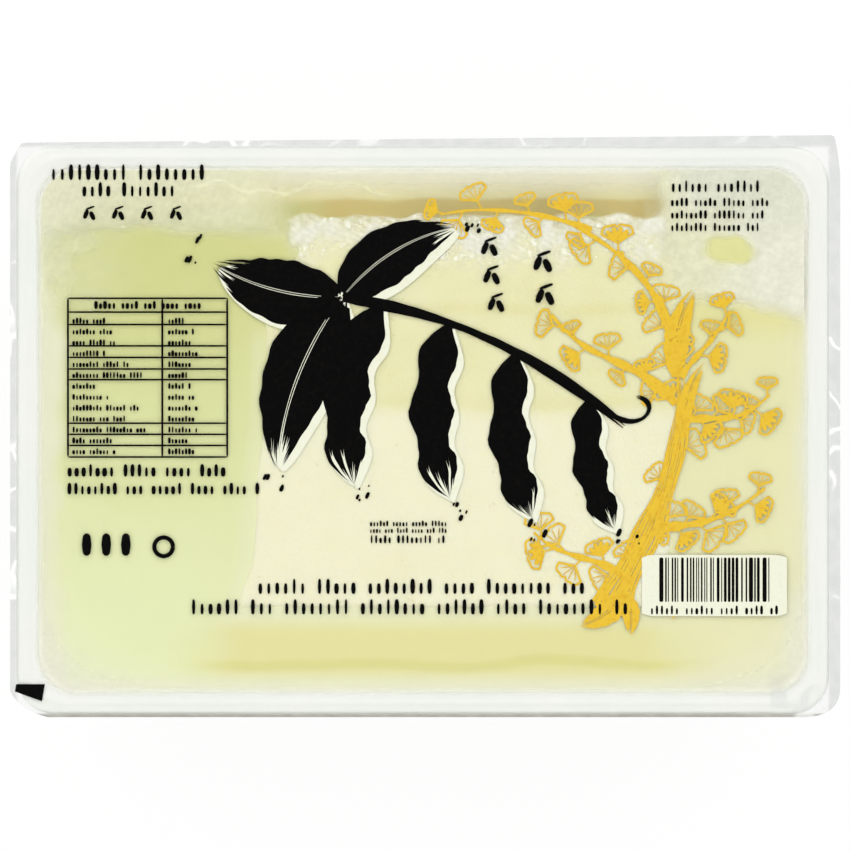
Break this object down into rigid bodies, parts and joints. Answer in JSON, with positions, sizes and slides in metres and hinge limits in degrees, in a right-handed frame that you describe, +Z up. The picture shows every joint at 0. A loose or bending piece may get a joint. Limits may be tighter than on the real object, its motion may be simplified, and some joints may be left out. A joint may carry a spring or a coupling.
{
  "type": "sealed pack of tofu block in whey",
  "caption": "Shallow flanged plastic tray holding a cut block of tofu in pale whey, heat-sealed with a clear printed film.",
  "frame": {"origin": "centre of the pack's base, on the surface it rests on, in the middle of its bounding box", "axes": "+X along the tray's long side, +Y to the back of the pack where the air pocket is, +Z up out of the film"},
  "size_m": [0.1867, 0.1309, 0.0492],
  "materials": {
    "tray_plastic": "milky translucent polypropylene, satin",
    "clear_film": "clear glossy lidding film with print in opaque ink",
    "tofu_curd": "wet fine-grained soft bean curd, cream",
    "pale_whey": "clear pale yellow-green liquid"
  },
  "bodies": {
    "root": {"tray": "tray_plastic", "lid_film": "clear_film", "tofu_block": "tofu_curd", "whey": "pale_whey"}
  },
  "joints": []
}
